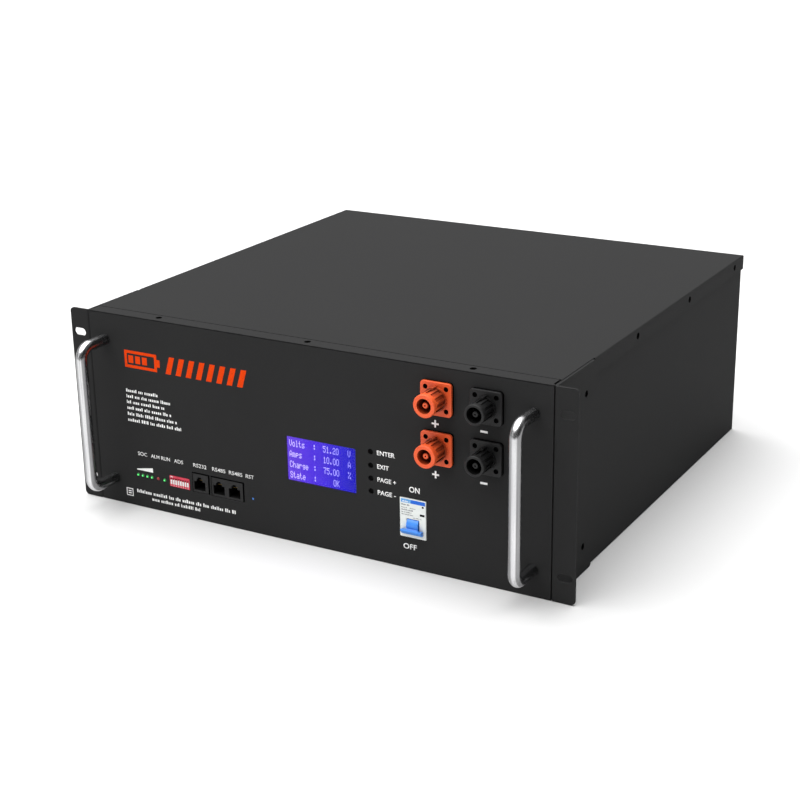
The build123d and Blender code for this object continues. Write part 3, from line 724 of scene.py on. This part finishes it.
def print_socket_signs():
    """A plus under each orange socket and a minus under each black one."""
    outlines = []
    for row, drop in SIGN_DROPS.items():
        socket = middle(f"socket_positive_{row}")
        x, z = socket.x - PLUS_LEFT, socket.z - drop
        for x0, x1, z0, z1 in (
            (-SIGN_ARM, SIGN_ARM, -PLUS_HALF, PLUS_HALF),
            (-PLUS_HALF, PLUS_HALF, PLUS_HALF, SIGN_ARM),
            (-PLUS_HALF, PLUS_HALF, -SIGN_ARM, -PLUS_HALF),
        ):
            outlines.append(rectangle(x + x0, x + x1, z + z0, z + z1, SIGN_CORNER))
        socket = middle(f"socket_negative_{row}")
        x, z = socket.x - MINUS_LEFT, socket.z - drop + MINUS_RISE
        outlines.append(rectangle(x - SIGN_ARM, x + SIGN_ARM, z - MINUS_HALF, z + MINUS_HALF, SIGN_CORNER))
    print_shapes("socket_signs", outlines, WHITE_INK)


WEDGE_LEFT = -179.8
WEDGE_RIGHT = -162.2
WEDGE_BASE = 35.3
WEDGE_TOPS = (36.1, 39.5)  # at the empty and at the full end


def print_charge_wedge():
    """Wedge over the charge lamps, thicker towards the full end."""
    empty, full = WEDGE_TOPS
    outline = [(WEDGE_LEFT, WEDGE_BASE), (WEDGE_RIGHT, WEDGE_BASE), (WEDGE_RIGHT, full), (WEDGE_LEFT, empty)]
    print_shapes("charge_wedge", [outline], WHITE_INK)


# Display

DOTS = {
    "V": "#...# #...# #...# #...# #...# .#.#. ..#..",
    "o": "..... ..... .###. #...# #...# #...# .###.",
    "l": ".##.. ..#.. ..#.. ..#.. ..#.. ..#.. .###.",
    "t": ".#... .#... ###.. .#... .#... .#..# ..##.",
    "s": "..... ..... .#### #.... .###. ....# ####.",
    "A": "..#.. .#.#. #...# #...# ##### #...# #...#",
    "m": "..... ..... ##.#. #.#.# #.#.# #.#.# #.#.#",
    "p": "..... ..... ####. #...# ####. #.... #....",
    "C": ".###. #...# #.... #.... #.... #...# .###.",
    "h": "#.... #.... #.##. ##..# #...# #...# #...#",
    "a": "..... ..... .###. ....# .#### #...# .####",
    "r": "..... ..... #.##. ##..# #.... #.... #....",
    "g": "..... ..... .#### #...# .#### ....# .###.",
    "e": "..... ..... .###. #...# ##### #.... .###.",
    "S": ".###. #...# #.... .###. ....# #...# .###.",
    "O": ".###. #...# #...# #...# #...# #...# .###.",
    "K": "#...# #..#. #.#.. ##... #.#.. #..#. #...#",
    "5": "##### #.... ####. ....# ....# #...# .###.",
    "1": "..#.. .##.. ..#.. ..#.. ..#.. ..#.. .###.",
    "2": ".###. #...# ....# ..##. .#... #.... #####",
    "0": ".###. #...# #...# #...# #...# #...# .###.",
    "7": "##### ....# ...#. ..#.. ..#.. ..#.. ..#..",
    "%": "##..# ##..# ...#. ..#.. .#... #..## #..##",
    ":": "..... .##.. .##.. ..... .##.. .##.. .....",
    ".": "..... ..... ..... ..... ..... .##.. .##..",
}
DOT_WIDE = 0.516
DOT_TALL = 0.82
DOT_INK = 0.94  # share of a dot's height that is lit
DOT_ROWS = 7
CHARACTER = 6 * DOT_WIDE  # from one character to the next

# The readout's rows, and where each of its columns is from the glass's left edge.
READOUT_ROWS = (
    ("Volts", "51.20", "V"),
    ("Amps", "10.00", "A"),
    ("Charge", "75.00", "%"),
    ("State", "OK", ""),
)
READOUT_TOP = 5.6  # from the glass's top edge to the first row's middle
READOUT_PITCH = 9.35
WORD_START = 1.9
COLON_START = 25.4
VALUE_END = 50.3
UNIT_START = 58.4

DISPLAY_RIM = 3.0  # of the window, round the glass
DISPLAY_CORNER = 0.5
PANE_DEPTHS = (0.3, 0.7)
GLASS_DEPTHS = (1.0, 1.6)


def dot_outlines(words, x, z):
    """Lit dots of some words, from x, with the capitals' middle at z."""
    outlines = []
    for place, character in enumerate(words):
        for row, line in enumerate(DOTS[character].split()):
            top = z + (DOT_ROWS / 2 - row) * DOT_TALL
            for column, dot in enumerate(line):
                if dot == "#":
                    left = x + place * CHARACTER + column * DOT_WIDE
                    outlines.append(rectangle(left, left + DOT_WIDE, top - DOT_INK * DOT_TALL, top))
    return outlines


def build_display():
    """Glowing glass under a clear pane, with a generic readout in pale dots."""
    low, high = span("lcd_window")
    x0, z1 = low.x + DISPLAY_RIM, high.z - DISPLAY_RIM
    outline = rectangle(x0, high.x - DISPLAY_RIM, low.z + DISPLAY_RIM, z1, DISPLAY_CORNER)
    add_pane("display_glass", outline, GLASS_DEPTHS, GLASS)
    pane = add_pane("display_pane", outline, PANE_DEPTHS, PANE)
    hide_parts("lcd_window")
    outlines = []
    for index, (word, value, unit) in enumerate(READOUT_ROWS):
        z = z1 - READOUT_TOP - READOUT_PITCH * index
        outlines += dot_outlines(word, x0 + WORD_START, z)
        outlines += dot_outlines(":", x0 + COLON_START, z)
        outlines += dot_outlines(value, x0 + VALUE_END - len(value) * CHARACTER, z)
        outlines += dot_outlines(unit, x0 + UNIT_START, z)
    print_shapes("readout", outlines, READOUT, y=GLASS_DEPTHS[0])


GREEN_LAMPS = (-178.75, -173.7, -168.65, -163.6, -149.75)  # four for the charge and one for running
HOT_SPOT_RADIUS = 0.7
HOT_SPOT_SINK = 0.12  # behind the dome's tip
HOT_SPOT_RISE = 1.1  # over the dome's middle


def build_hot_spots():
    """Bright cap where each green lamp's die shines through its dome."""
    tip = span("green_lamps")[0].y
    z = middle("green_lamps").z + HOT_SPOT_RISE

    def build(made):
        for x in GREEN_LAMPS:
            place = Matrix.Translation(at(x, tip + HOT_SPOT_SINK, z))
            bmesh.ops.create_uvsphere(
                made, u_segments=12, v_segments=8, radius=HOT_SPOT_RADIUS * MM, matrix=place,
            )

    add_piece("lamp_hot_spots", mesh_of("lamp_hot_spots", build), HOT_SPOT)


# Breaker

BREAKER_HALF = 11.6  # half the width of its printed face
BAND_Z = (57.8, 61.0)
BAND_START = 0.9  # from the face's left edge
BAND_SPLIT = 10.0  # where the pale end of the band stops, from the face's left edge
BAND_END = 0.3  # from the face's right edge
BAND_INK = 0.02  # how far the marks on the band stand proud of it
# Lines of marks on the breaker: seed, left end and right end from the face's left edge, middle
# height, capitals' height.
BREAKER_MARKS = (
    (40, 1.0, 9.5, 56.0, 1.2),
    (41, 1.0, 7.0, 53.6, 0.9),
    (42, 1.2, 12.0, 51.6, 1.1),
    (43, 1.2, 11.0, 49.6, 0.9),
    (44, 1.2, 13.0, 47.6, 0.8),
    (45, 12.0, 20.0, 45.8, 0.7),
    (46, 9.0, 14.5, 53.6, 0.9),
)
BAND_MARKS = (61, 2.2, 9.2, 59.0, 1.4)


def build_breaker_print():
    """Blue band, small marks, and an indicator and screw window printed dark as painted shade on the
    breaker's face.
    """
    face = span("breaker_body")[0].y
    x0 = middle("breaker_body").x - BREAKER_HALF
    x1 = middle("breaker_body").x + BREAKER_HALF

    def marks(seed, left, right, z, height):
        return word_marks(seed, x0 + left, x0 + right, z, height)

    band = rectangle(x0 + BAND_SPLIT, x1 - BAND_END, *BAND_Z)
    pale = rectangle(x0 + BAND_START, x0 + BAND_SPLIT, *BAND_Z)
    print_shapes("breaker_band", [band], BLUE_INK, y=face)
    print_shapes("breaker_band_pale", [pale], CYAN_INK, y=face)
    lines = [outline for line in BREAKER_MARKS for outline in marks(*line)]
    print_shapes("breaker_marks", lines, GREY_INK, y=face)
    print_shapes("breaker_band_words", marks(*BAND_MARKS), WHITE_INK, y=face - BAND_INK)
    # Painted shade: the indicator window and the screw opening are flat dark prints, not openings.
    window = rectangle(x1 - 5.2, x1 - 0.9, 48.3, 50.1, 0.2)
    screw = rectangle(x1 - 3.3, x1 - 1.5, 55.4, 57.2, 0.8)
    print_shapes("breaker_window", [window, screw], HOLE_SHADE, y=face)


# Jack contacts

PORTS = {"rs232": (-112.2,), "rs485": (-91.8, -75.6)}  # the ports' middles
CONTACTS = 8
CONTACT_PITCH = 1.02
CONTACT_RUN = ((5.0, 35.6), (8.5, 34.2), (13.5, 32.8))  # depth and height along a wire
WIRE_RADIUS = 0.22
WIRE_SIDES = 8


def wire_ring(x, y, z):
    """Points round a contact wire."""
    angles = [2 * math.pi * side / WIRE_SIDES for side in range(WIRE_SIDES)]
    return [at(x + WIRE_RADIUS * math.cos(angle), y, z + WIRE_RADIUS * math.sin(angle)) for angle in angles]


def build_jack_contacts():
    """Eight sprung gold wires along the top of each port."""
    for name, centres in PORTS.items():
        def build(made):
            for centre in centres:
                for index in range(CONTACTS):
                    x = centre + (index - (CONTACTS - 1) / 2) * CONTACT_PITCH
                    for near, far in zip(CONTACT_RUN, CONTACT_RUN[1:]):
                        add_prism(made, wire_ring(x, *near), wire_ring(x, *far))

        add_piece(f"{name}_contacts", mesh_of(f"{name}_contacts", build), GOLD)


# Switch numbers

SWITCHES = 8
SWITCH_PRINT = 1.1  # height of the numbers and the word
SWITCH_MARGIN = 1.0  # from the body's top and bottom to their middle
SWITCH_WORD_START = 0.9  # from the body's left edge


def print_switch_numbers():
    """The numbers of the eight switches and which way is on."""
    low, high = span("dip_switch_body")
    for number in range(1, SWITCHES + 1):
        x = middle(f"dip_slider_{number}").x
        z = low.z + SWITCH_MARGIN
        lettering(f"switch_number_{number}", str(number), x, z, SWITCH_PRINT, y=low.y, align="CENTER")
    x = low.x + SWITCH_WORD_START
    lettering("switch_on", "ON", x, high.z - SWITCH_MARGIN, SWITCH_PRINT, y=low.y)


# Stage, in metres

FLOOR_HALF = 60
SKY_ACROSS = 0.7  # the sky dims along this much of X and as much of -Y
SKY_LEFT = 0.90
SKY_RIGHT = 0.06
SUN_POWER = 4.95
SUN_ANGLE = 80.0  # in degrees, so wide that its shadow is very soft
SUN_FROM = (-0.22, -0.12, 1.0)
FRONT_POWER = 1.8
FRONT_SIZE = 1.0
FRONT_PLACE = (-1.2, -2.2, 1.0)
FRONT_AIM = (0, 0, 0.05)

# The camera's place in the panel's millimetres, its lens, and its turn in degrees: round from the
# front towards the right, up, and about its own axis.
CAMERA_PLACE = (687.4, -1037.4, 567.6)
CAMERA_LENS = 72.99
CAMERA_TURN = (29.966, 19.483, -0.896)


def add_view(name, data, back, place=(0, 0, 0), roll=0.0):
    """Adds a light or camera that faces away from the direction back, rolled about its own axis."""
    made = bpy.data.objects.new(name, data)
    made.location = place
    made.rotation_mode = "QUATERNION"
    made.rotation_quaternion = Vector(back).to_track_quat("Z", "Y") @ Quaternion((0, 0, 1), roll)
    bpy.context.scene.collection.objects.link(made)
    return made


def build_floor():
    """Pale floor under the pack."""
    corners = [(x * FLOOR_HALF, y * FLOOR_HALF, 0) for x, y in ((-1, -1), (1, -1), (1, 1), (-1, 1))]

    def build(made):
        made.faces.new([made.verts.new(corner) for corner in corners])

    floor = mesh_of("studio_floor", build)
    floor.materials.append(floor_paint())
    stage = bpy.data.objects.new("studio_floor", floor)
    bpy.context.scene.collection.objects.link(stage)


def build_sky():
    """White surround, bright on the left and dim on the right."""
    world = bpy.data.worlds.new("studio")
    bpy.context.scene.world = world
    world.use_nodes = True
    tree = world.node_tree
    place = tree.nodes.new("ShaderNodeTexCoord")
    across = tree.nodes.new("ShaderNodeVectorMath")
    across.operation = "DOT_PRODUCT"
    across.inputs[1].default_value = (SKY_ACROSS, -SKY_ACROSS, 0)
    dimmer = tree.nodes.new("ShaderNodeMapRange")
    dimmer.inputs["From Min"].default_value = -SKY_ACROSS
    dimmer.inputs["From Max"].default_value = SKY_ACROSS
    dimmer.inputs["To Min"].default_value = SKY_LEFT
    dimmer.inputs["To Max"].default_value = SKY_RIGHT
    background = tree.nodes["Background"]
    background.inputs["Color"].default_value = (1, 1, 1, 1)
    tree.links.new(place.outputs["Generated"], across.inputs[0])
    tree.links.new(across.outputs["Value"], dimmer.inputs["Value"])
    tree.links.new(dimmer.outputs["Result"], background.inputs["Strength"])


def build_lights():
    """A very soft key light from above and a weak one from the front."""
    key = bpy.data.lights.new("key_light", "SUN")
    key.energy = SUN_POWER
    key.angle = math.radians(SUN_ANGLE)
    add_view("key_light", key, SUN_FROM)
    front = bpy.data.lights.new("front_light", "AREA")
    front.size = FRONT_SIZE
    front.energy = FRONT_POWER
    add_view("front_light", front, Vector(FRONT_PLACE) - Vector(FRONT_AIM), FRONT_PLACE)


def build_camera():
    """Camera to the right of the front and above it."""
    azimuth, elevation, roll = (math.radians(angle) for angle in CAMERA_TURN)
    back = (
        math.sin(azimuth) * math.cos(elevation),
        -math.cos(azimuth) * math.cos(elevation),
        math.sin(elevation),
    )
    data = bpy.data.cameras.new("camera")
    data.sensor_width = 36.0
    data.lens = CAMERA_LENS
    bpy.context.scene.camera = add_view("camera", data, back, at(*CAMERA_PLACE), roll)


build_camera()
dress_nodes()
print_panel_mark()
print_panel_notes()
print_labels()
print_socket_signs()
print_charge_wedge()
build_display()
build_hot_spots()
build_breaker_print()
build_jack_contacts()
print_switch_numbers()
build_floor()
build_sky()
build_lights()
bpy.context.scene.view_settings.view_transform = "Standard"
